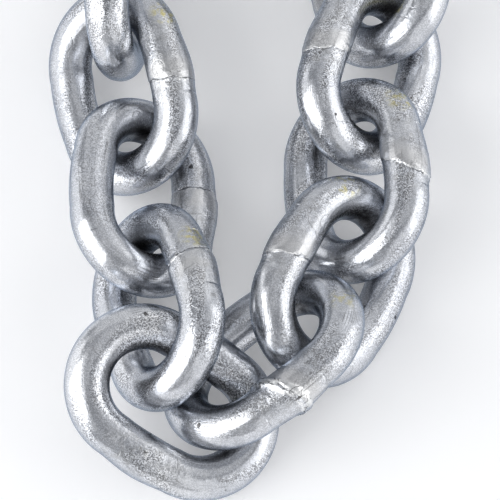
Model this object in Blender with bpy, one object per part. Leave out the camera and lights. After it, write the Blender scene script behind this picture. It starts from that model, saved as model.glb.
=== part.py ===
"""One metre of short-link welded steel chain, laid doubled on a level floor.

Two strands lie side by side along +Y and are joined by the bend at the -Y end. Each link is one piece of
round wire, bent and welded, and hangs in the next by its shape alone. Metres, +Z up. The origin is on the
floor, under the middle of the chain's box.
"""
import math

import bmesh
import bpy
import numpy as np
from mathutils import Euler, Matrix, Vector

MM = 0.001

# The link: round wire bent to two half-round ends, with two legs that bow out a little.
WIRE = 10.0 * MM
PITCH = 30.0 * MM           # length inside the link, and from one link to the next when pulled straight
WIDTH = 35.4 * MM           # over the wires, where a half-round end meets its legs
BOW = 0.6 * MM              # how far the middle of a leg stands out past that
WELD_SWELL = 0.25 * MM      # extra radius at the weld, in the middle of one leg
WIRE_SIDES = 12
END_STEPS = 8               # straight steps round a half-round end
LEG_STEPS = 2               # straight steps along a leg

# The links of the bend as they lie, in chain order: number, middle in X and Y (mm), heading of the long
# axis, slope of its far end and lean about it (degrees). A lean over 0 lifts the leg on the +X side.
LAY = [
    (12, -31.0, 86.5, 12, -15, 36),
    (13, -30.0, 60.5, -1, 1, -82),
    (14, -29.0, 34.0, 14, 7, 36),
    (15, -24.0, 8.0, -2, -7, -32),
    (16, -20.0, -21.5, 16, -13, 48),
    (17, -17.0, -42.5, 65, 25, 10),
    (18, 3.0, -32.5, -52, 12, 30),
    (19, 18.5, -14.0, -26, -2, -40),
    (20, 23.5, 11.5, 5, -2, 33),
    (21, 27.5, 37.5, -18, -6, -41),
    (22, 30.0, 65.5, 6, -4, 34),
]
LINKS = 33                  # 33 links of 30 mm are one metre of chain
BEND_LINK = 17

# Beyond those links each strand goes on along +Y in the same way, a little different from link to link.
SPACING = 27.5 * MM         # slack chain: less than the pitch
SPACING_SWAY = 0.8 * MM
YAW = 9.0                   # degrees that a link turns off its strand, away from its raised leg
YAW_SWAY = 3.0
STRAND_SWAY = 5.0           # degrees that a strand wanders off +Y
SLOPE = -3.0
SLOPE_SWAY = 2.0
LEAN = 36.0
LEAN_SWAY = 5.0
END_LEAN = 20.0             # the last link of a strand has nothing to hold it up at its free end

# The leg that carries the weld, where it shows: 1 for the one on the +X side, -1 for the other.
WELD_SIDE = {14: 1, 15: 1, 16: 1, 17: -1, 18: 1, 19: -1, 20: 1, 21: -1}

# How the links come to rest against each other.
TOUCH = 0.35 * MM           # least gap between the wires of two links
LOOSE = 0.7 * MM            # most gap between the wires of two links that hang in each other
SETTLE_ROUNDS = 240
SINK_ROUNDS = 160           # rounds in which a link that is off the floor also sinks
SINK_SHARE = 0.3
WIRE_PIECES = 6             # points along each straight step of the wire, to measure gaps from

ZINC_COLOUR = (0.63, 0.64, 0.66, 1.0)
ZINC_ROUGHNESS = 0.28


def clear_scene():
    for thing in list(bpy.data.objects):
        bpy.data.objects.remove(thing, do_unlink=True)


def make_zinc():
    """Bright zinc plating on steel."""
    zinc = bpy.data.materials.new("bright_zinc")
    zinc.use_nodes = True
    shader = zinc.node_tree.nodes["Principled BSDF"]
    shader.inputs["Base Color"].default_value = ZINC_COLOUR
    shader.inputs["Metallic"].default_value = 1.0
    shader.inputs["Roughness"].default_value = ZINC_ROUGHNESS
    return zinc


def link_centreline():
    """The middle line of one link's wire and the radius at each point. Long axis +Y, flat in XY."""
    end_radius = (WIDTH - WIRE) / 2
    leg_half = (PITCH + WIRE) / 2 - end_radius
    points = []
    for half_turn in (0, math.pi):
        turn = Matrix.Rotation(half_turn, 3, "Z")
        for step in range(1, LEG_STEPS):
            share = 2 * step / LEG_STEPS - 1
            bow = BOW * (1 - share ** 2)
            points.append(turn @ Vector((end_radius + bow, leg_half * share, 0)))
        for step in range(END_STEPS + 1):
            angle = math.pi * step / END_STEPS
            across = end_radius * math.cos(angle)
            along = leg_half + end_radius * math.sin(angle)
            points.append(turn @ Vector((across, along, 0)))
    radii = [WIRE / 2] * len(points)
    radii[LEG_STEPS // 2 - 1] += WELD_SWELL
    return points, radii


def link_mesh(name):
    """The wire as a closed ring of round sections, with the weld on the +X leg."""
    points, radii = link_centreline()
    count = len(points)
    up = Vector((0, 0, 1))
    shape = bmesh.new()
    sections = []
    for index in range(count):
        along = (points[(index + 1) % count] - points[index - 1]).normalized()
        outward = along.cross(up)
        section = []
        for side in range(WIRE_SIDES):
            angle = 2 * math.pi * (side + 0.5) / WIRE_SIDES
            offset = outward * math.cos(angle) + up * math.sin(angle)
            section.append(shape.verts.new(points[index] + radii[index] * offset))
        sections.append(section)
    for index in range(count):
        near = sections[index]
        far = sections[(index + 1) % count]
        for side in range(WIRE_SIDES):
            beside = (side + 1) % WIRE_SIDES
            shape.faces.new((near[side], near[beside], far[beside], far[side]))
    bmesh.ops.recalc_face_normals(shape, faces=shape.faces)
    mesh = bpy.data.meshes.new(name)
    shape.to_mesh(mesh)
    shape.free()
    mesh.shade_smooth()
    return mesh


class Link:
    """One link where it lies: its number in the chain, its middle and its turn."""

    def __init__(self, number, x, y, heading, slope, lean):
        self.number = number
        self.lean = lean
        self.middle = np.array((x, y, 0.0))
        angles = (math.radians(slope), math.radians(-lean), math.radians(heading))
        self.turn = np.array(Euler(angles, "YXZ").to_matrix())
        if WELD_SIDE.get(number, (-1) ** (number // 2)) < 0:
            self.turn = self.turn @ np.diag((-1.0, -1.0, 1.0))

    def place(self, points):
        return points @ self.turn.T + self.middle

    def lowest(self, skin):
        surface = self.place(skin)
        return surface[surface[:, 2].argmin()]

    def nudge(self, point, shift):
        """Move a point of the link by about shift: half by moving the link, half by turning it."""
        arm = point - self.middle
        self.middle = self.middle + shift / 2
        turning = Vector(np.cross(arm, shift) / (2 * arm.dot(arm)))
        self.turn = np.array(Matrix.Rotation(turning.length, 3, turning)) @ self.turn


def fine_wire():
    """Points close together along the wire's middle line, and the radius at each."""
    points, radii = link_centreline()
    points = np.array(points)
    radii = np.array(radii)
    steps = np.arange(WIRE_PIECES)[None, :] / WIRE_PIECES
    to_next = np.roll(points, -1, axis=0) - points
    to_next_radius = np.roll(radii, -1) - radii
    fine_points = points[:, None] + to_next[:, None] * steps[..., None]
    fine_radii = radii[:, None] + to_next_radius[:, None] * steps
    return fine_points.reshape(-1, 3), fine_radii.reshape(-1)


def nearest_points(wire_a, wire_b, radii):
    """The gap between two wires, and the points of their middle lines on either side of it."""
    gaps = np.linalg.norm(wire_a[:, None] - wire_b[None], axis=2) - radii[:, None] - radii[None]
    index_a, index_b = np.unravel_index(np.argmin(gaps), gaps.shape)
    return gaps[index_a, index_b], wire_a[index_a], wire_b[index_b]


def make_room(link, other, points, radii):
    """Push two links apart where they are too close, or together where the next is too far off."""
    gap, point, other_point = nearest_points(link.place(points), other.place(points), radii)
    wanted = max(gap, TOUCH)
    if abs(link.number - other.number) == 1:
        wanted = min(wanted, LOOSE)
    away = (point - other_point) / np.linalg.norm(point - other_point)
    link.nudge(point, away * (wanted - gap) / 2)
    other.nudge(other_point, away * (gap - wanted) / 2)


def settle(chain, skin):
    """Nudge the links until none cuts into another, each meets the next, and all lie on the floor."""
    points, radii = fine_wire()
    for turn in range(SETTLE_ROUNDS):
        for index, link in enumerate(chain):
            for other in chain[index + 1:]:
                if np.linalg.norm(link.middle - other.middle) < 2 * PITCH:
                    make_room(link, other, points, radii)
            lowest = link.lowest(skin)
            rise = -lowest[2]
            if rise < 0:
                rise *= SINK_SHARE if turn < SINK_ROUNDS else 0
            link.nudge(lowest, np.array((0, 0, rise)))


def next_along(last):
    """The next link of a strand, laid on from the last one."""
    number = last.number + (1 if last.number > BEND_LINK else -1)
    step = abs(number - BEND_LINK)
    side = -1 if last.lean > 0 else 1
    bearing = STRAND_SWAY * math.sin(0.75 * step + last.number)
    spacing = SPACING + SPACING_SWAY * math.sin(2.3 * step)
    heading = bearing + side * (YAW + YAW_SWAY * math.sin(1.7 * step))
    slope = SLOPE + SLOPE_SWAY * math.sin(2.9 * step)
    lean = side * (LEAN + LEAN_SWAY * math.sin(1.3 * step))
    if number in (1, LINKS):
        lean = side * END_LEAN
    x = last.middle[0] - spacing * math.sin(math.radians(bearing))
    y = last.middle[1] + spacing * math.cos(math.radians(bearing))
    return Link(number, x, y, heading, slope, lean)


def lay_chain(skin):
    """All links in chain order, each where it lies: the noted ones, then both strands on from them."""
    chain = [Link(number, x * MM, y * MM, *angles) for number, x, y, *angles in LAY]
    while chain[0].number > 1:
        chain.insert(0, next_along(chain[0]))
    while chain[-1].number < LINKS:
        chain.append(next_along(chain[-1]))
    for link in chain:
        link.middle[2] -= link.lowest(skin)[2]
    settle(chain, skin)
    return chain


def centre_on_floor(chain, skin):
    """Move the whole chain so that the origin is at the middle of the bottom of its box."""
    surface = np.concatenate([link.place(skin) for link in chain])
    low = surface.min(axis=0)
    high = surface.max(axis=0)
    origin = np.array(((low[0] + high[0]) / 2, (low[1] + high[1]) / 2, low[2]))
    for link in chain:
        link.middle = link.middle - origin


def main():
    clear_scene()
    mesh = link_mesh("chain_link")
    mesh.materials.append(make_zinc())
    skin = np.array([vertex.co for vertex in mesh.vertices])
    chain = lay_chain(skin)
    centre_on_floor(chain, skin)
    for link in chain:
        piece = bpy.data.objects.new(f"link_{link.number:02d}", mesh)
        piece.matrix_world = Matrix.LocRotScale(Vector(link.middle), Matrix(link.turn), None)
        bpy.context.scene.collection.objects.link(piece)
    return chain


if __name__ == "__main__":
    main()
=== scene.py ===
# %% [markdown]
# # A metre of welded steel chain
#
# The object is one length of bright zinc-plated chain that lies doubled on a floor. The solids of its
# 33 links are already made and packed, and this lesson dresses them: each link becomes a smooth, slightly
# uneven ring of wire with a real weld, and all of them get one zinc finish.

# %% Load the frame
import math
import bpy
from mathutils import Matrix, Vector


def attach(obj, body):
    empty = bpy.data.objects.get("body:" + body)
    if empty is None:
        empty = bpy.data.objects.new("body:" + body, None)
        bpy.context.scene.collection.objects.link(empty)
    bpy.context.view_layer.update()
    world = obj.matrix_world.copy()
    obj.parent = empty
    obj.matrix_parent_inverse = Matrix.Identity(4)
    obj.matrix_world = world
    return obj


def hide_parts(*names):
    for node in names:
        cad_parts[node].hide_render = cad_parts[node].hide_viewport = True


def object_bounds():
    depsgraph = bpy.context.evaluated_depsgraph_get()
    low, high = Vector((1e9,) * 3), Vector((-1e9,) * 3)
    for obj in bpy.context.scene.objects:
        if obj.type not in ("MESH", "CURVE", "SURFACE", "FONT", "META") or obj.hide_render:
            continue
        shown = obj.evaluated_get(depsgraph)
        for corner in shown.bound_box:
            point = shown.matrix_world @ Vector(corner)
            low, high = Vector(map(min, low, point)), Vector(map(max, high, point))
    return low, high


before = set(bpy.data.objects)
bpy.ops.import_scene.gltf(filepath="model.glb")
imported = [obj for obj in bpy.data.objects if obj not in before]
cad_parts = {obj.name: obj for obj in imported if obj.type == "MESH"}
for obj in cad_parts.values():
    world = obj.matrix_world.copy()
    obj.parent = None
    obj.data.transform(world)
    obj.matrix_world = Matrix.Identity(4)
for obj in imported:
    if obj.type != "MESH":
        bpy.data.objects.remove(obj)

from types import SimpleNamespace

import bpy
import numpy as np
from mathutils import Matrix, Vector

cad_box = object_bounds()
links = sorted(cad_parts)
print("links:", len(links), "box:", cad_box)

# %% [markdown]
# ## Sizes
#
# One driving size, the wire, and the proportions of short-link chain give every other size. They are the
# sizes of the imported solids, so a dressed link takes the very place of its solid.

# %% Sizes of a link
MM = 0.001
WIRE = 10.0 * MM
INNER_LENGTH = 30.0 * MM
OUTER_WIDTH = 35.4 * MM
LEG_BOW = 0.6 * MM
WELD_SWELL = 0.25 * MM
SLACK = 0.1 * MM            # a round wire that stays within the solid's twelve-sided one

end_radius = (OUTER_WIDTH - WIRE) / 2
leg_length = INNER_LENGTH + WIRE - 2 * end_radius
print("half-round ends of radius", round(end_radius / MM, 2), "mm, legs of", round(leg_length / MM, 2), "mm")

# %% [markdown]
# ## Sums on sockets
#
# A node tree is full of small sums. One class wraps a socket, so that a sum is written as in Python and
# adds its own Math nodes. Its method `node` makes any other node: settings first, then values or links.

# %% A socket that can be used in sums
class Flow:
    """A socket of a node tree. Sums on it add Math nodes, or Vector Math nodes where a vector takes part."""

    def __init__(self, tree, socket=None):
        self.tree = tree
        self.socket = socket

    def node(self, kind, settings=None, inputs=None):
        """Add a node. Returns a function that gives its outputs by name or number."""
        made = self.tree.nodes.new(kind)
        for name, value in (settings or {}).items():
            if name == "stops":
                set_stops(made.color_ramp, value)
            else:
                setattr(made, name, value)
        for name, value in (inputs or {}).items():
            self.feed(find_input(made, name), value)
        return lambda name=0: Flow(self.tree, find_output(made, name))

    def feed(self, socket, value):
        if isinstance(value, Flow):
            self.tree.links.new(value.socket, socket)
        else:
            socket.default_value = value

    def is_vector(self):
        return self.socket.type in ("VECTOR", "RGBA")

    def sum(self, operation, *values):
        vector = any(isinstance(value, Flow) and value.is_vector() for value in values)
        kind = "ShaderNodeVectorMath" if vector else "ShaderNodeMath"
        if vector:
            values = [value if isinstance(value, (Flow, tuple)) else (value,) * 3 for value in values]
        return self.node(kind, {"operation": operation}, dict(enumerate(values)))()

    def __add__(self, other):
        return self.sum("ADD", self, other)

    def __sub__(self, other):
        return self.sum("SUBTRACT", self, other)

    def __rsub__(self, other):
        return self.sum("SUBTRACT", other, self)

    def __neg__(self):
        return self * -1.0

    def __mul__(self, other):
        return self.sum("MULTIPLY", self, other)

    def __truediv__(self, other):
        return self.sum("DIVIDE", self, other)

    def __pow__(self, other):
        return self.sum("POWER", self, other)

    __radd__ = __add__
    __rmul__ = __mul__

    def abs(self):
        return self.sum("ABSOLUTE", self)

    def sign(self):
        return self.sum("SIGN", self)

    def sin(self):
        return self.sum("SINE", self)

    def cos(self):
        return self.sum("COSINE", self)

    def least(self, other):
        return self.sum("MINIMUM", self, other)

    def most(self, other):
        return self.sum("MAXIMUM", self, other)

    def length(self):
        return self.node("ShaderNodeVectorMath", {"operation": "LENGTH"}, {0: self})("Value")

    def parts(self):
        made = self.node("ShaderNodeSeparateXYZ", None, {0: self})
        return made("X"), made("Y"), made("Z")

    def rise(self, low, high):
        """0 below low, 1 above high, and a smooth step between."""
        settings = {"interpolation_type": "SMOOTHSTEP"}
        return self.node("ShaderNodeMapRange", settings, {"Value": self, 1: low, 2: high})("Result")

    def hump(self, width):
        """1 where the value is 0, falling smoothly to 0 at width on either side."""
        return 1 - self.abs().rise(0.0, width)


# %% Sockets by name, ramp stops and vectors
def find_input(node, name):
    """An input by number, or by name among those that are in use."""
    if isinstance(name, int):
        return node.inputs[name]
    return next(socket for socket in node.inputs if socket.name == name and socket.enabled)


def find_output(node, name):
    """An output by number or by name, among those that are in use."""
    in_use = [socket for socket in node.outputs if socket.enabled]
    return in_use[name] if isinstance(name, int) else next(socket for socket in in_use if socket.name == name)


def set_stops(ramp, stops):
    """Colour ramp stops: (place, colour)."""
    while len(ramp.elements) < len(stops):
        ramp.elements.new(1.0)
    for element, (place, colour) in zip(ramp.elements, stops):
        element.position = place
        element.color = colour


def pack(start, x=0.0, y=0.0, z=0.0):
    """A vector from three numbers."""
    return start.node("ShaderNodeCombineXYZ", None, {"X": x, "Y": y, "Z": z})()


# %% [markdown]
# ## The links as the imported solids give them
#
# Where each link lies could be written down here, but then it might differ from the solids. So it is read
# from them. Every solid is the same shape, moved and turned: the middle of its corners is the link's middle,
# and their principal axes are its own axes, longest along the legs and shortest through the eye. The leg
# that carries the weld is a little thicker, and that tells the two sides apart.

# %% Find where a link lies
def link_matrix(name):
    """From a link's own axes to where it lies. X is towards the weld, Y along the legs, Z through the eye."""
    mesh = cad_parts[name].data
    corners = np.empty(len(mesh.vertices) * 3, np.float32)
    mesh.vertices.foreach_get("co", corners)
    corners = np.unique(corners.reshape(-1, 3).round(6), axis=0).astype(float)
    middle = corners.mean(axis=0)
    _, axes = np.linalg.eigh(np.cov((corners - middle).T))
    through = axes[:, 0] if axes[2, 0] > 0 else -axes[:, 0]
    across = axes[:, 1]
    reach = (corners - middle) @ across
    if reach.max() < -reach.min():
        across = -across
    along = np.cross(through, across)
    matrix = Matrix(np.column_stack((across, along, through)).tolist()).to_4x4()
    return Matrix.Translation(Vector(middle)) @ matrix


matrices = {name: link_matrix(name) for name in links}
BEND_LINK = "link_17"
print("link at the bend:", [round(v / MM, 1) for v in matrices[BEND_LINK].translation], "mm")

# %% [markdown]
# ## The wire of a link, by Geometry Nodes
#
# A link is round wire along a closed line: two legs joined by two half circles. It could be a bevelled
# curve, but its shape follows a rule, so a tree makes it: a ring of points is laid along the line by its
# length, closer together at the weld, where the detail is, and a circle is swept along it. Then every point
# of the wire's skin is moved in or out. The same tree makes all links, and a seed and a few sizes make each
# one different.

# %% Start a tree with named inputs
def new_tree(name, inputs):
    """A geometry tree with the given inputs: name, kind of socket and value."""
    tree = bpy.data.node_groups.new(name, "GeometryNodeTree")
    for label, kind, value in inputs:
        socket = tree.interface.new_socket(label, in_out="INPUT", socket_type=kind)
        if value is not None:
            socket.default_value = value
    tree.interface.new_socket("Geometry", in_out="OUTPUT", socket_type="NodeSocketGeometry")
    entry = tree.nodes.new("NodeGroupInput")
    return tree, lambda label: Flow(tree, entry.outputs[label])


LINK_INPUTS = [
    ("Wire Diameter", "NodeSocketFloat", WIRE - SLACK),
    ("Inner Length", "NodeSocketFloat", INNER_LENGTH + SLACK),
    ("Outer Width", "NodeSocketFloat", OUTER_WIDTH - SLACK),
    ("Leg Bow", "NodeSocketFloat", LEG_BOW),
    ("Rings", "NodeSocketInt", 224),
    ("Sides", "NodeSocketInt", 64),
    ("Unevenness", "NodeSocketFloat", 0.12 * MM),
    ("Rib Height", "NodeSocketFloat", 0.16 * MM),
    ("Weld Swell", "NodeSocketFloat", WELD_SWELL),
    ("Weld Place", "NodeSocketFloat", 0.0),
    ("Weld Lean", "NodeSocketFloat", 0.0),
    ("Weld Step", "NodeSocketFloat", 0.12 * MM),
    ("Weld Crack", "NodeSocketFloat", 0.20 * MM),
    ("Weld Flash", "NodeSocketFloat", 0.15 * MM),
    ("Weld Side", "NodeSocketFloat", 1.0),
    ("Stain Place", "NodeSocketVector", (0.0, 0.0, 0.0)),
    ("Pit Place", "NodeSocketVector", (0.0, 0.0, 0.0)),
    ("Graininess", "NodeSocketFloat", 1.0),
    ("Seed", "NodeSocketFloat", 0.0),
    ("Material", "NodeSocketMaterial", None),
]


# %% The middle line of the wire
def middle_line(tree, given):
    """The closed line that the wire follows, flat in XY and long in Y. It starts opposite the weld."""
    start = Flow(tree)
    radius = (given("Outer Width") - given("Wire Diameter")) / 2
    leg = (given("Inner Length") + given("Wire Diameter")) / 2 - radius
    share = start.node("GeometryNodeInputIndex")() / given("Rings") - 0.5
    crowded = share - (share * math.tau).sin() * (0.5 / math.tau)
    run = crowded * (leg * 4 + radius * math.tau)
    turn = ((run.abs() - leg).most(0.0) / radius).least(math.pi)
    far_leg = (run.abs() - leg - radius * math.pi).most(0.0)
    y = (run.abs().least(leg) + radius * turn.sin() - far_leg) * run.sign()
    bow = given("Leg Bow") * (1 - (y.abs() / leg).least(1.0) ** 2.0)
    x = (radius + bow) * turn.cos()
    ring = start.node("GeometryNodeCurvePrimitiveCircle", {"mode": "RADIUS"}, {"Resolution": given("Rings")})
    line = {"Geometry": ring("Curve"), "Position": pack(start, x, y)}
    return start.node("GeometryNodeSetPosition", None, line)()


# %% [markdown]
# ## The weld
#
# The wire is bent into a ring and its two ends are pressed together, red hot from a current. That leaves a
# slightly swollen leg, a crooked line where the ends met, and crumbs of flash that the trimming tool
# missed. On one side of the line the tool has scraped the leg bright over a few millimetres, and that band
# stands a little over the other side.
#
# One weld could be modelled by hand, but each link has its own. Noise in four dimensions gives it: the fourth
# one is the link's seed, and every noise adds a number of its own to the seed, so that no two follow each
# other. Scales of noise are in waves to the metre, so at 1000 a wave is a millimetre wide.

# %% Noise and the line of the weld
WELD_WOBBLE = 2.4 * MM      # how far the line strays from straight


def noise(place, seed, scale, detail=2.0, roughness=0.5):
    """Noise from about -0.5 to 0.5, different for each seed."""
    inputs = {"Vector": place, "W": seed, "Scale": scale, "Detail": detail, "Roughness": roughness}
    return place.node("ShaderNodeTexNoise", {"noise_dimensions": "4D"}, inputs)(0) - 0.5


def past_weld(given, place, radial):
    """How far a point lies past the line of the weld, along the leg. Below zero is the trimmed side."""
    wobble = noise(place, given("Seed"), 260.0, 4.0, 0.7) * WELD_WOBBLE
    line = given("Weld Place") + given("Weld Lean") * radial.parts()[0] + wobble
    return (place.parts()[1] - line) * given("Weld Side")


# %% The scraped band and the open line
TRIMMED = 6.6               # mm of the leg, from the line of the weld, that the trimming tool has scraped
TRIM_EDGE = 0.2             # mm to either side of the band's far end, in which it runs out
TRIM_SLOPE = 0.65           # share of its height that the band loses on the way
CRACK_WIDTH = 0.45 * MM     # of the open line, to either side of its middle


def weld_lip(given, past):
    """How far the scraped band stands out: most at the line of the weld, less towards its far end."""
    below = -past
    runs_out = below.rise((TRIMMED - TRIM_EDGE) * MM, (TRIMMED + TRIM_EDGE) * MM)
    trimmed = below.rise(-0.12 * MM, 0.14 * MM) * (1 - runs_out)
    return given("Weld Step") * trimmed * (1 - TRIM_SLOPE * below.rise(1.0 * MM, 6.0 * MM))


def weld_crack(given, place, past):
    """How deep the line of the weld stands open. It is closed here and there."""
    gaps = noise(place, given("Seed") + 3.7, 300.0).rise(-0.10, 0.05)
    return given("Weld Crack") * past.hump(CRACK_WIDTH) * gaps


# %% The flash
FLASH_HELD = 0.3 * MM       # flash up to this height stays at the line of the weld
FLASH_SPREAD = 8.0          # higher flash spreads so many times as far as it is higher
FLASH_FILL = 100.0          # and leaves fewer bare stretches, for each metre that it spreads


def weld_flash(given, place, past, ragged):
    """Where crumbs of flash stick: three broken rows, on both sides of the line and on it."""
    seed = given("Seed")
    spread = (given("Weld Flash") - FLASH_HELD).most(0.0) * FLASH_SPREAD
    beyond = (past - 0.6 * MM + ragged * (1.6 * MM)).hump(0.6 * MM)
    before = (past + 1.2 * MM + ragged * (2.4 * MM)).hump(0.8 * MM) * 0.6
    between = (past + ragged * (1.0 * MM)).hump(0.4 * MM + spread)
    here_and_there = noise(place, seed + 8.3, 220.0) + spread * FLASH_FILL
    return (beyond + before + between) * here_and_there.rise(-0.04, 0.10)


# %% The height of the skin over plain round wire
WELDED_LEG = (4.0 * MM, 9.0 * MM)    # across the link: no weld up to the first, all of it from the second
SWELL_REACH = 7.0 * MM               # how far along the leg the swell goes, either way


def round_the_wire(radial, centre):
    """Where a point is on the round of the wire: 1 outwards and -1 inwards in X, up in Y."""
    x, y, up = radial.parts()
    middle_x, middle_y, _ = centre.parts()
    outward = (x * middle_x + y * middle_y).sign()
    return pack(radial, outward * (x * x + y * y) ** 0.5, up)


def unevenness(given, place, section):
    """Slow and quick waves all over, and low ribs along the wire, as the drawing die leaves them.

    The noise of the ribs changes fast round the wire and slowly along it.
    """
    seed = given("Seed")
    slow = noise(place, seed + 21.0, 95.0, 1.0)
    quick = noise(place, seed + 33.0, 330.0)
    ribs = noise(section * 2.2 + place * 22.0, seed + 41.0, 1.0, 3.0, 0.6)
    return given("Unevenness") * (slow + quick * 0.35) + given("Rib Height") * ribs


def skin_height(given, place, past, section):
    """How far the skin stands out, and how much of that is flash."""
    x, y, _ = place.parts()
    welded = x.rise(*WELDED_LEG)
    swell = given("Weld Swell") * y.hump(SWELL_REACH)
    weld = welded * (swell + weld_lip(given, past) - weld_crack(given, place, past))
    ragged = noise(place, given("Seed") + 5.1, 700.0, 3.0, 0.6)
    flash = weld_flash(given, place, past, ragged) * welded
    height = weld + given("Weld Flash") * flash * (ragged + 0.7) + unevenness(given, place, section)
    return height, flash


# %% [markdown]
# ## The whole tree
#
# The finish has to know where it is on a link: how far from the line of the weld, on which side of the
# wire, how far from a stain or a pit. The tree knows all that, so before it moves the skin it keeps it with
# the mesh, in millimetres. A pit is smaller than the room between the mesh's points, and a distance to it
# would be lost there. So the way to it is kept, three numbers that blend truly from point to point.

# %% Keep what the finish needs
OPEN_ENOUGH = 0.1 * MM      # a crack and a step that add up to this make the line of the weld show
DRAWN_ROUND = 5.0           # how fast a drawn mark changes round the wire
DRAWN_ALONG = 0.08 / MM     # and along it, much more slowly


def keep(geometry, name, value):
    """Keep a vector with every point of the mesh, for the finish."""
    settings = {"data_type": "FLOAT_VECTOR", "domain": "POINT"}
    inputs = {"Geometry": geometry, "Name": name, "Value": value}
    return geometry.node("GeometryNodeStoreNamedAttribute", settings, inputs)()


def keep_for_finish(skin, given, here, radial, section, past, flash):
    """Keep the place in the link, the side of the wire, the marks of the weld and the habits of the link."""
    from_stain = (here - given("Stain Place")).length()
    cracked = ((given("Weld Crack") + given("Weld Step")) / OPEN_ENOUGH).least(1.0)
    skin = keep(skin, "in_link", here / MM)
    skin = keep(skin, "out_of_wire", radial)
    skin = keep(skin, "marks", pack(here, past / MM, flash, from_stain / MM))
    skin = keep(skin, "habits", pack(here, cracked, given("Graininess")))
    skin = keep(skin, "from_pit", (here - given("Pit Place")) / MM)
    return keep(skin, "drawn", section * DRAWN_ROUND + here * DRAWN_ALONG + given("Seed"))


# %% The tree of a link
def make_link_tree():
    tree, given = new_tree("welded_link", LINK_INPUTS)
    start = Flow(tree)
    here = start.node("GeometryNodeInputPosition")()
    capture = tree.nodes.new("GeometryNodeCaptureAttribute")
    capture.capture_items.new("VECTOR", "Centre")
    start.feed(capture.inputs["Geometry"], middle_line(tree, given))
    start.feed(capture.inputs["Centre"], here)
    centre = Flow(tree, capture.outputs["Centre"])
    circle = start.node("GeometryNodeCurvePrimitiveCircle", {"mode": "RADIUS"},
                        {"Resolution": given("Sides"), "Radius": given("Wire Diameter") / 2})
    sweep = {"Curve": Flow(tree, capture.outputs["Geometry"]), "Profile Curve": circle("Curve")}
    skin = start.node("GeometryNodeCurveToMesh", None, sweep)()
    radial = (here - centre) / (given("Wire Diameter") / 2)
    past = past_weld(given, here, radial)
    section = round_the_wire(radial, centre)
    height, flash = skin_height(given, here, past, section)
    skin = keep_for_finish(skin, given, here, radial, section, past, flash)
    skin = start.node("GeometryNodeSetPosition", None, {"Geometry": skin, "Offset": radial * height})()
    skin = start.node("GeometryNodeSetShadeSmooth", None, {"Geometry": skin})()
    skin = start.node("GeometryNodeRealizeInstances", None, {"Geometry": skin})()
    skin = start.node("GeometryNodeSetMaterial", None, {"Geometry": skin, "Material": given("Material")})()
    leave = tree.nodes.new("NodeGroupOutput")
    start.feed(leave.inputs["Geometry"], skin)
    return tree


link_tree = make_link_tree()
print("link tree:", len(link_tree.nodes), "nodes")

# %% [markdown]
# ## Bright zinc
#
# Zinc plating is thin and follows the steel. It is a blue-white metal, glossy on the whole, and its crystals
# show as salt and pepper, most of all along the edges of a highlight. One glossy shader with a fine bump
# could do it, but at this distance so fine a bump blurs away. So two metal shaders are mixed, a glossy and a
# satin one: light grains are more satin and scatter the highlight, and dark grains have a darker
# colour. The upward side of the wire gets more dark grains, as a painted reflection. The grain is patchy,
# and drawn out along the wire, because drawn steel takes the plating so.

# %% Noise and blends for the finish
def grain(place, scale, detail=2.0, roughness=0.5):
    """Noise from 0 to 1, mostly near 0.5."""
    inputs = {"Vector": place, "Scale": scale, "Detail": detail, "Roughness": roughness}
    return place.node("ShaderNodeTexNoise", None, inputs)(0)


def hairlines(place, scale, width, often):
    """Thin broken lines, where a noise passes its middle value."""
    line = (grain(place, scale, 1.0) - 0.5).hump(width)
    return line * grain(place, scale * 1.7, 1.0).rise(often, often + 0.08)


def tint(colour, amount, other):
    """Blend a colour towards another."""
    blend = {"Factor": amount, "A": colour, "B": other}
    return colour.node("ShaderNodeMix", {"data_type": "RGBA"}, blend)("Result")


def pits(place, scale, size, often):
    """Round pits: a few of the cells of a Voronoi pattern have one."""
    cells = place.node("ShaderNodeTexVoronoi", None, {"Vector": place, "Scale": scale})
    chosen = cells("Color").parts()[0].rise(1 - often, 1 - often + 0.01)
    return (1 - cells("Distance").rise(size * 0.5, size)) * chosen


# %% Where things are on a link
def kept(start, name):
    """What the link's tree kept with the mesh."""
    return start.node("ShaderNodeAttribute", {"attribute_name": name})("Vector")


# The next four are in mm from the middle of a link: where a thing starts, and where it is full or over.
LEGS_END = (7.0, 13.0)
HEAT_ENDS = (8.0, 12.0)
CONTACT_STARTS = (10.0, 14.0)
HEATED_LEG = (5.0, 9.0)     # this one across the link, the others along it


def places(start):
    """Masks: the welded part of the leg, the legs, and the inner side of the ends, where links touch and rub.
    """
    x, y, _ = kept(start, "in_link").parts()
    legs = 1 - y.abs().rise(*LEGS_END)
    welded = x.rise(*HEATED_LEG) * (1 - y.abs().rise(*HEAT_ENDS))
    towards_middle = -(kept(start, "out_of_wire").parts()[1] * y.sign())
    # The inner side of the ends, where links touch, gets painted shade in the colour and a rougher finish.
    rubbed = towards_middle.rise(0.10, 0.95) * y.abs().rise(*CONTACT_STARTS)
    return welded, legs, rubbed


# %% [markdown]
# ## Marks of the weld and of tools
#
# The line of the weld is dark where it stands open and bright on its ragged lip, and so is the far end of the
# band that the trimming tool scraped. The drawing die scores the wire along its length, the bending tool
# leaves combs of short lines outside the ends, and links that fall on each other leave thin arcs.
#
# All that could be painted on an image, but each link would need its own. Here a mark is a mask from 0 to 1,
# made of noise and of what the tree kept, and it is used twice: in the colour and in the relief.

# %% The weld and the marks of tools
TRIM_FADES = 3.0            # mm from the line of the weld to where the scraped metal starts to fade
COMBS_START = (13.0, 16.0)  # mm along the link: the bending tool held it beyond this


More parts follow.
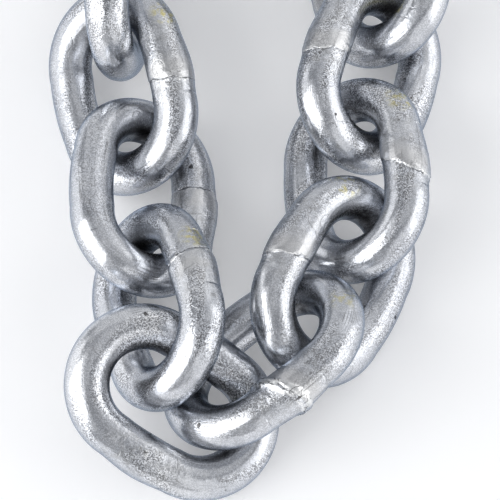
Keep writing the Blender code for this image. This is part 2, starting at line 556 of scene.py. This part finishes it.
def weld_marks(start, place, welded):
    """Masks: the open line of the weld, its bright ragged lip, and the scraped metal on one side of it."""
    past = kept(start, "marks").parts()[0]
    cracked = kept(start, "habits").parts()[0]
    near = past + (grain(place, 1100.0, 3.0, 0.65) - 0.5)
    there = welded * cracked
    crack = (near - 0.20).hump(0.17) * there * grain(place, 300.0).rise(0.40, 0.52)
    lip = (near + 0.15).hump(0.22) * there * grain(place, 260.0).rise(0.44, 0.54)
    far_edge = (near + TRIMMED).hump(0.16) * there * grain(place, 240.0).rise(0.46, 0.54)
    fades = 1 - (-past).rise(TRIM_FADES, TRIMMED + TRIM_EDGE)
    trimmed = there * (-past).rise(0.0, 0.3) * fades * grain(place, 120.0).rise(0.25, 0.5)
    return crack.most(far_edge * 0.8), lip.most(far_edge * 0.8), trimmed


def tool_marks(start, place, legs):
    """Masks: scores along the legs, left by the drawing die, and short ones outside the ends."""
    y = kept(start, "in_link").parts()[1]
    outside = kept(start, "out_of_wire").parts()[1] * y.sign()
    drawn = kept(start, "drawn")
    scores = hairlines(drawn, 0.55, 0.012, 0.50) * (0.4 + 0.6 * legs)
    combs = (drawn.parts()[1] * 15.0).sin().rise(0.5, 0.95) * grain(place, 150.0, 1.0).rise(0.56, 0.62)
    return scores.most(combs * outside.rise(-0.2, 0.3) * y.abs().rise(*COMBS_START))


def dents(place):
    """Thin arcs where a round thing struck."""
    cells = place.node("ShaderNodeTexVoronoi", None, {"Vector": place, "Scale": 120.0})
    chosen = cells("Color").parts()[1].rise(0.72, 0.73)
    return (cells("Distance") - 0.22).hump(0.018) * chosen * grain(place, 330.0, 1.0).rise(0.48, 0.53)


# %% Salt and pepper
FINE_GRAINS = 4200.0        # to the metre: a grain of about a quarter of a millimetre
COARSE_GRAINS = 2200.0


def specks(place):
    """Salt and pepper, from 0 in a dark grain to 1 in a light one."""
    fine = grain(place, FINE_GRAINS, 1.0, 0.6).rise(0.40, 0.60)
    coarse = grain(place, COARSE_GRAINS, 3.0, 0.65).rise(0.38, 0.62)
    return fine * 0.58 + coarse * 0.42


def patches(start):
    """Where the grain is strong: in patches drawn out along the wire, more of them on a grainy link."""
    along = kept(start, "drawn") + kept(start, "in_link") * 0.27
    return grain(along, 0.22, 2.0).rise(0.47, 0.60) * kept(start, "habits").parts()[1]


# %% All masks of the finish
PIT_EDGE = (0.40, 0.65)     # mm from the middle of the one large pit


def find_masks(start, place):
    """Where each thing is that the colour, the relief or the gloss shows."""
    mask = SimpleNamespace()
    mask.welded, mask.legs, mask.rubbed = places(start)
    crack, mask.lip, mask.trimmed = weld_marks(start, place, mask.welded)
    mask.rough_weld = mask.welded * (1 - 0.6 * mask.trimmed)
    scratches = hairlines(place, 140.0, 0.012, 0.52).most(dents(place))
    mask.lines = crack.most(tool_marks(start, place, mask.legs) * 0.5).most(scratches * 0.4)
    from_pit = kept(start, "from_pit").length() + (grain(place, 1500.0) - 0.5) * 0.8
    mask.holes = pits(place, 160.0, 0.07, 0.25).most(1 - from_pit.rise(*PIT_EDGE))
    mask.cloud = grain(place, 60.0, 3.0)
    mask.speck = specks(place)
    mask.patch = patches(start)
    mask.salt = mask.speck.rise(0.55, 0.85) * (0.36 + 0.50 * mask.patch) * (1 - 0.6 * mask.trimmed)
    # Painted reflection: the upward side of the wire gets more dark grains.
    upward_painted_reflection = start.node("ShaderNodeNewGeometry")("Normal").parts()[2].rise(0.74, 0.94)
    pepper = 0.12 + 0.44 * mask.patch + upward_painted_reflection * 0.12 * mask.patch
    mask.pepper = pepper * (1 - 0.7 * mask.trimmed)
    return mask


# %% [markdown]
# ## Colour and relief
#
# The colour starts as a cloudy blue-grey and takes one layer after another: scraped metal, the pepper, with
# more dark grains on the upward side as a painted reflection, the smoke of the weld, a yellow stain from the
# last bath, white flakes of flash with dark folds between them, dirt in every line and pit, and painted shade
# where links touch and rub. The relief is a sum of fine noises in millimetres. None is much over a tenth of a
# millimetre high, so a Bump node can show them and the mesh needn't carry them.

# %% The zinc's colour
ZINC_PALE = (0.76, 0.77, 0.79, 1)
ZINC_DEEP = (0.52, 0.54, 0.58, 1)
LIP_WHITE = (0.95, 0.95, 0.94, 1)
TRIMMED_GREY = (0.68, 0.67, 0.655, 1)
SPECK_BROWN = (0.11, 0.10, 0.10, 1)
STAIN_YELLOW = (0.68, 0.60, 0.20, 1)
# Dirt in lines and pits, and painted shade where links touch.
DIRT_AND_SHADE = (0.035, 0.03, 0.028, 1)
SMOKE = (0.40, 0.40, 0.395, 1)
STAIN_EDGE = (1.5, 4.5)     # mm from the middle of a stain


def add_pepper(colour, speck, amount):
    """Darken a colour in the dark grains, and lighten it a little in the light ones."""
    tone = 1 + amount * (speck * 2 - 1)
    colour = colour * pack(speck, tone, tone, tone)
    return tint(colour, amount * (1 - speck).rise(0.35, 0.9) * 0.9, SPECK_BROWN)


def zinc_colour(start, place, mask):
    _, flash, from_stain = kept(start, "marks").parts()
    stops = {"stops": [(0.3, ZINC_DEEP), (0.7, ZINC_PALE)]}
    clouds = {"Fac": mask.cloud * 0.6 + grain(place, 900.0, 3.0) * 0.4}
    colour = start.node("ShaderNodeValToRGB", stops, clouds)("Color")
    colour = tint(colour, mask.trimmed * 0.6, TRIMMED_GREY)
    colour = add_pepper(colour, mask.speck, mask.pepper)
    smoke = mask.rough_weld * grain(place, 500.0, 3.0).rise(0.4, 0.7)
    colour = tint(colour, smoke * 0.45, SMOKE)
    stain = (1 - from_stain.rise(*STAIN_EDGE)) * grain(place, 700.0, 3.0, 0.65).rise(0.46, 0.60)
    colour = tint(colour, stain * 0.7, STAIN_YELLOW)
    flakes = flash.rise(0.2, 0.6) * grain(place, 520.0, 2.0).rise(0.44, 0.54)
    colour = tint(colour, (flakes * 0.75).most(mask.lip * 0.9), LIP_WHITE)
    folds = hairlines(place, 420.0, 0.035, 0.40) * flash.rise(0.2, 0.6)
    colour = tint(colour, folds * 0.9, DIRT_AND_SHADE)
    colour = tint(colour, mask.lines.most(mask.holes) * 0.85, DIRT_AND_SHADE)
    # Painted shade: the inner side of the ends, where links touch, is darkened.
    return tint(colour, mask.rubbed * grain(place, 220.0, 3.0).rise(0.30, 0.62) * 0.85, DIRT_AND_SHADE)


# %% The zinc's surface, high and low
CRYSTALS = 0.015            # all of these are heights or depths in mm
DIMPLES = 0.04
PATCH_DIMPLES = 0.04        # more of them where the grain is strong
RIBS = 0.03
LEG_RIBS = 0.02             # more of them on the legs, which no bending tool has touched
BURNT_WELD = 0.12
LIP = 0.08
LINE = 0.06
HOLE = 0.06


def zinc_height(start, place, mask):
    """Height of the fine relief in millimetres."""
    height = grain(place, 3300.0, 3.0, 0.7) * CRYSTALS
    height = height + grain(place, 1300.0, 2.0, 0.6) * (DIMPLES + PATCH_DIMPLES * mask.patch)
    height = height + grain(kept(start, "drawn"), 1.5, 3.0, 0.65) * (RIBS + LEG_RIBS * mask.legs)
    height = height + grain(place, 900.0, 3.0, 0.65) * mask.rough_weld * BURNT_WELD
    return height + mask.lip * LIP - mask.lines * LINE - mask.holes * HOLE


# %% [markdown]
# ## The material
#
# A highlight on bright zinc has a clear core and a soft border, and one roughness gives only one of them. So
# there are two metals, which share the colour and the bump and differ in roughness. The share of the glossy
# one is high, and lower in light grains and on scraped metal. Seen at a grazing angle bright zinc looks
# bluish, so the metal's edge colour is a greyed blue.

# %% The zinc material
EDGE_BLUE = (0.45, 0.52, 0.62, 1)
GLOSSY_ROUGHNESS = 0.10
SATIN_ROUGHNESS = 0.29
GLOSSY_SHARE = 0.74
SALT_SHARE = 0.40           # how much less of the glossy metal a light grain has
TRIMMED_SHARE = 0.08        # and scraped metal


def make_zinc():
    material = bpy.data.materials.new("bright_zinc")
    material.use_nodes = True
    tree = material.node_tree
    tree.nodes.clear()
    start = Flow(tree)
    place = start.node("ShaderNodeTexCoord")("Object")
    mask = find_masks(start, place)
    height = zinc_height(start, place, mask)
    bump = start.node("ShaderNodeBump", None, {"Strength": 1.0, "Distance": MM, "Height": height})()
    look = {"Base Color": zinc_colour(start, place, mask), "Metallic": 1.0, "Normal": bump,
            "Specular Tint": EDGE_BLUE}
    spoilt = mask.rubbed * 0.15
    satin = SATIN_ROUGHNESS + mask.cloud * 0.03 + spoilt + mask.trimmed * 0.05 + mask.salt * 0.10
    glossy = GLOSSY_ROUGHNESS + mask.cloud * 0.05 + mask.welded * 0.06 + spoilt
    satin_metal = start.node("ShaderNodeBsdfPrincipled", None, {**look, "Roughness": satin})()
    glossy_metal = start.node("ShaderNodeBsdfPrincipled", None, {**look, "Roughness": glossy})()
    share = GLOSSY_SHARE - TRIMMED_SHARE * mask.trimmed - SALT_SHARE * mask.salt
    both = start.node("ShaderNodeMixShader", None, {0: share, 1: satin_metal, 2: glossy_metal})()
    start.node("ShaderNodeOutputMaterial", None, {"Surface": both})
    return material


zinc = make_zinc()
print("zinc:", len(zinc.node_tree.nodes), "nodes")

# %% [markdown]
# ## One dressed link for each solid
#
# Welds come out differently from link to link, and so does the plating. The links at the bend, which a
# buyer sees first, get theirs listed: where the line of the weld lies on the leg, how it leans, how high
# its lip stands, how deep the crack is and how much flash is left, and then where a yellow stain and a pit
# are, which side of the weld was scraped, and how grainy the zinc is. Chance, from a fixed seed, gives the
# others theirs. All lengths are in millimetres, on the link's own axes.

# %% What each link is like
HABITS = ("Weld Place", "Weld Lean", "Weld Step", "Weld Crack", "Weld Flash", "Stain Place", "Pit Place")
BY_HAND = {
    # place  lean  step  crack flash  stain at            pit at                side grain
    13: (0.0, 0.0, 0.10, 0.10, 0.15, (15.0, -12.0, 3.0), (-9.0, 5.0, -4.0), 1, 1.1),
    14: (-3.7, -1.1, 0.12, 0.12, 0.15, (16.9, 11.5, 1.8), (14.0, -9.0, -4.9), -1, 0.9),
    15: (4.0, 0.0, 0.16, 0.10, 0.12, (14.0, -9.0, -4.0), (9.5, 9.5, 4.1), 1, 0.35),
    16: (1.0, 0.5, 0.14, 0.25, 0.25, (17.9, 5.4, 1.0), (9.0, -9.0, 3.5), 1, 1.0),
    17: (-1.0, 0.0, 0.00, 0.00, 0.00, (-16.0, 12.0, -4.0), (-12.7, -15.8, 4.3), 1, 1.0),
    18: (-2.5, 3.5, 0.25, 0.25, 0.55, (4.9, 20.6, 2.0), (8.6, -19.9, 4.3), -1, 0.7),
    19: (3.5, 2.0, 0.16, 0.25, 0.25, (11.4, -18.2, 3.9), (-15.8, -1.2, 4.3), 1, 0.6),
    20: (-2.2, -3.2, 0.30, 0.05, 0.30, (15.4, 14.1, 2.8), (12.0, 5.0, -4.9), -1, 1.0),
    21: (4.0, 2.0, 0.16, 0.22, 0.28, (2.0, -22.0, -4.0), (12.0, 3.0, -4.9), 1, 0.9),
}
SEED_STEP = 7.3             # from one link's noise to the next
MARK_LOW = (-18, -24, 0)    # the room in which chance puts a stain or a pit, in mm
MARK_HIGH = (18, 24, 6)
chance = np.random.default_rng(30)


def habits_by_chance():
    """What a link is like, drawn by chance, in the order of the table."""
    place, lean = chance.uniform(-4, 4), chance.uniform(-3, 3)
    step, crack, flash = chance.uniform(0.04, 0.20), chance.uniform(0.05, 0.22), chance.uniform(0.05, 0.30)
    side = chance.integers(2) * 2 - 1
    stain = tuple(chance.uniform(MARK_LOW, MARK_HIGH))
    pit = tuple(chance.uniform(MARK_LOW, MARK_HIGH))
    grainy = chance.uniform(0.4, 1.1)
    return place, lean, step, crack, flash, stain, pit, side, grainy


def habits_of(number):
    """What makes a link different from the others, for the inputs of its tree.

    A link that is listed draws its chances too, so that the links after it stay as they are.
    """
    by_chance = habits_by_chance()
    *lengths, side, grainy = BY_HAND.get(number, by_chance)
    values = {label: np.multiply(value, MM).tolist() for label, value in zip(HABITS, lengths)}
    return {**values, "Weld Side": float(side), "Graininess": float(grainy), "Seed": SEED_STEP * number}


# %% [markdown]
# The tree runs on an empty mesh, its result is kept as a plain mesh, and the link's matrix takes it to its
# place. So every link sits at the origin of the scene with its place in its mesh, as its solid does. Where
# the skin would stand out of the solids' box, it is pressed flat, as the floor does to it.

# %% Make the links
INPUT_OF = {item.name: item.identifier for item in link_tree.interface.items_tree if item.in_out == "INPUT"}


def press_into_box(mesh):
    """Keep a mesh inside the box of the solids."""
    points = np.empty(len(mesh.vertices) * 3, np.float32)
    mesh.vertices.foreach_get("co", points)
    points = np.clip(points.reshape(-1, 3), np.array(cad_box[0]), np.array(cad_box[1]))
    mesh.vertices.foreach_set("co", points.astype(np.float32).ravel())
    mesh.update()


def make_link(name, number):
    """A dressed link in the place of its solid."""
    holder = bpy.data.objects.new(name + "_holder", bpy.data.meshes.new(name + "_holder"))
    bpy.context.scene.collection.objects.link(holder)
    modifier = holder.modifiers.new("sweep", "NODES")
    modifier.node_group = link_tree
    modifier[INPUT_OF["Material"]] = zinc
    for label, value in habits_of(number).items():
        modifier[INPUT_OF[label]] = value
    evaluated = holder.evaluated_get(bpy.context.evaluated_depsgraph_get())
    mesh = bpy.data.meshes.new_from_object(evaluated)
    bpy.data.objects.remove(holder)
    mesh.name = name + "_wire"
    mesh.transform(matrices[name])
    press_into_box(mesh)
    piece = bpy.data.objects.new(name + "_wire", mesh)
    bpy.context.scene.collection.objects.link(piece)
    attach(piece, "root")
    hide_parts(name)
    return piece


pieces = [make_link(name, number) for number, name in enumerate(links, start=1)]
print("triangles:", sum(2 * len(piece.data.polygons) for piece in pieces))

# %% [markdown]
# ## The floor
#
# A picture of chain for sale has a white ground with hardly a shadow. A light table gives that, so the floor
# is pale and glows faintly. What it sends up also fills the undersides of the links.

# %% The floor
FLOOR_SIZE = 16.0
FLOOR_WHITE = (0.94, 0.94, 0.945, 1)
FLOOR_ROUGHNESS = 0.6
FLOOR_GLOW = 0.15


def make_floor():
    mesh = bpy.data.meshes.new("floor")
    half = FLOOR_SIZE / 2
    corners = [(-half, -half, 0), (half, -half, 0), (half, half, 0), (-half, half, 0)]
    mesh.from_pydata(corners, [], [(0, 1, 2, 3)])
    floor = bpy.data.objects.new("floor", mesh)
    bpy.context.scene.collection.objects.link(floor)
    material = bpy.data.materials.new("pale_floor")
    material.use_nodes = True
    shader = material.node_tree.nodes["Principled BSDF"]
    shader.inputs["Base Color"].default_value = FLOOR_WHITE
    shader.inputs["Roughness"].default_value = FLOOR_ROUGHNESS
    shader.inputs["Emission Color"].default_value = FLOOR_WHITE
    shader.inputs["Emission Strength"].default_value = FLOOR_GLOW
    mesh.materials.append(material)
    return floor


floor = make_floor()
print("floor:", FLOOR_SIZE, "m wide")

# %% [markdown]
# ## The camera
#
# The picture looks down on the bend at about 65 degrees, from an arm's length. The lens is worked out from
# how much the picture should show across, so that it can be set with a ruler.

# %% The camera, at the photograph's viewing angle
CAMERA_RISE = 65.3          # degrees above the floor
CAMERA_AWAY = 0.690
VIEW_WIDTH = 0.1130         # width of what the square picture shows, at the point looked at
SENSOR_WIDTH = 36.0
LOOK_FROM_BEND = Vector((16.8, 42.5, -13.5)) * MM


def make_camera():
    """A camera that looks at a point above the bend. Returns that point."""
    camera = bpy.data.objects.new("camera", bpy.data.cameras.new("camera"))
    bpy.context.scene.collection.objects.link(camera)
    target = matrices[BEND_LINK].translation + LOOK_FROM_BEND
    rise = math.radians(CAMERA_RISE)
    towards = Vector((0, -math.cos(rise), math.sin(rise)))
    camera.location = target + CAMERA_AWAY * towards
    camera.rotation_euler = towards.to_track_quat("Z", "Y").to_euler()
    camera.data.sensor_width = SENSOR_WIDTH
    camera.data.lens = SENSOR_WIDTH * CAMERA_AWAY / VIEW_WIDTH
    camera.data.clip_start = 0.01
    bpy.context.scene.camera = camera
    return target


target = make_camera()
print("camera looks at", [round(v / MM, 1) for v in target], "mm")

# %% [markdown]
# ## The lights
#
# Bright metal shows its surroundings, so the lights are shapes to be seen in the wire. An image of a studio
# all round could give them, but panels can be moved and dimmed one by one. A strong soft panel on the left
# gives the white bands, and a weak halo beside it softens their inner edge. A panel on the right and one at
# the back give the pale sides. Wide veils fill the rest, each in a direction that would look too dark in the
# wire without it, and the room itself stays a dim grey. The Standard view keeps a white ground white.

# %% The lights
PANELS = (
    # name, metres away, degrees round from the right, degrees down from overhead, size, glow
    ("left_panel", 1.0, -153, 62, (1.02, 1.10), 2.00),
    ("left_halo", 1.2, -150, 38, (1.10, 0.95), 0.36),
    ("left_veil", 1.3, 170, 76, (1.40, 1.00), 0.85),
    ("right_panel", 1.2, -4, 74, (1.25, 1.10), 0.98),
    ("front_veil", 1.3, -44, 70, (1.60, 1.50), 0.58),
    ("low_veil", 1.3, -98, 68, (1.10, 0.80), 0.16),
    ("right_veil", 1.3, 26, 64, (1.50, 1.40), 0.42),
    ("back_panel", 1.3, 88, 58, (2.00, 1.50), 0.36),
    ("top_veil", 1.3, 20, 14, (1.10, 1.00), 0.26),
)


def make_panel(name, away, turn, tilt, size, glow):
    """A soft panel that faces the chain. Its glow is how bright it looks in a mirror."""
    turn, tilt = math.radians(turn), math.radians(tilt)
    flat = math.sin(tilt)
    towards = Vector((flat * math.cos(turn), flat * math.sin(turn), math.cos(tilt)))
    data = bpy.data.lights.new(name, "AREA")
    data.shape = "RECTANGLE"
    data.size, data.size_y = size
    data.energy = glow * math.pi * size[0] * size[1]
    panel = bpy.data.objects.new(name, data)
    panel.location = target + away * towards
    panel.rotation_euler = towards.to_track_quat("Z", "Y").to_euler()
    bpy.context.scene.collection.objects.link(panel)
    return panel


panels = [make_panel(*panel) for panel in PANELS]
print("panels:", len(panels))

# %% The room round the floor
ROOM_GREY = (0.32, 0.33, 0.35, 1)


def make_room():
    world = bpy.data.worlds.new("room")
    bpy.context.scene.world = world
    world.use_nodes = True
    world.node_tree.nodes["Background"].inputs["Color"].default_value = ROOM_GREY


make_room()
bpy.context.scene.view_settings.view_transform = "Standard"
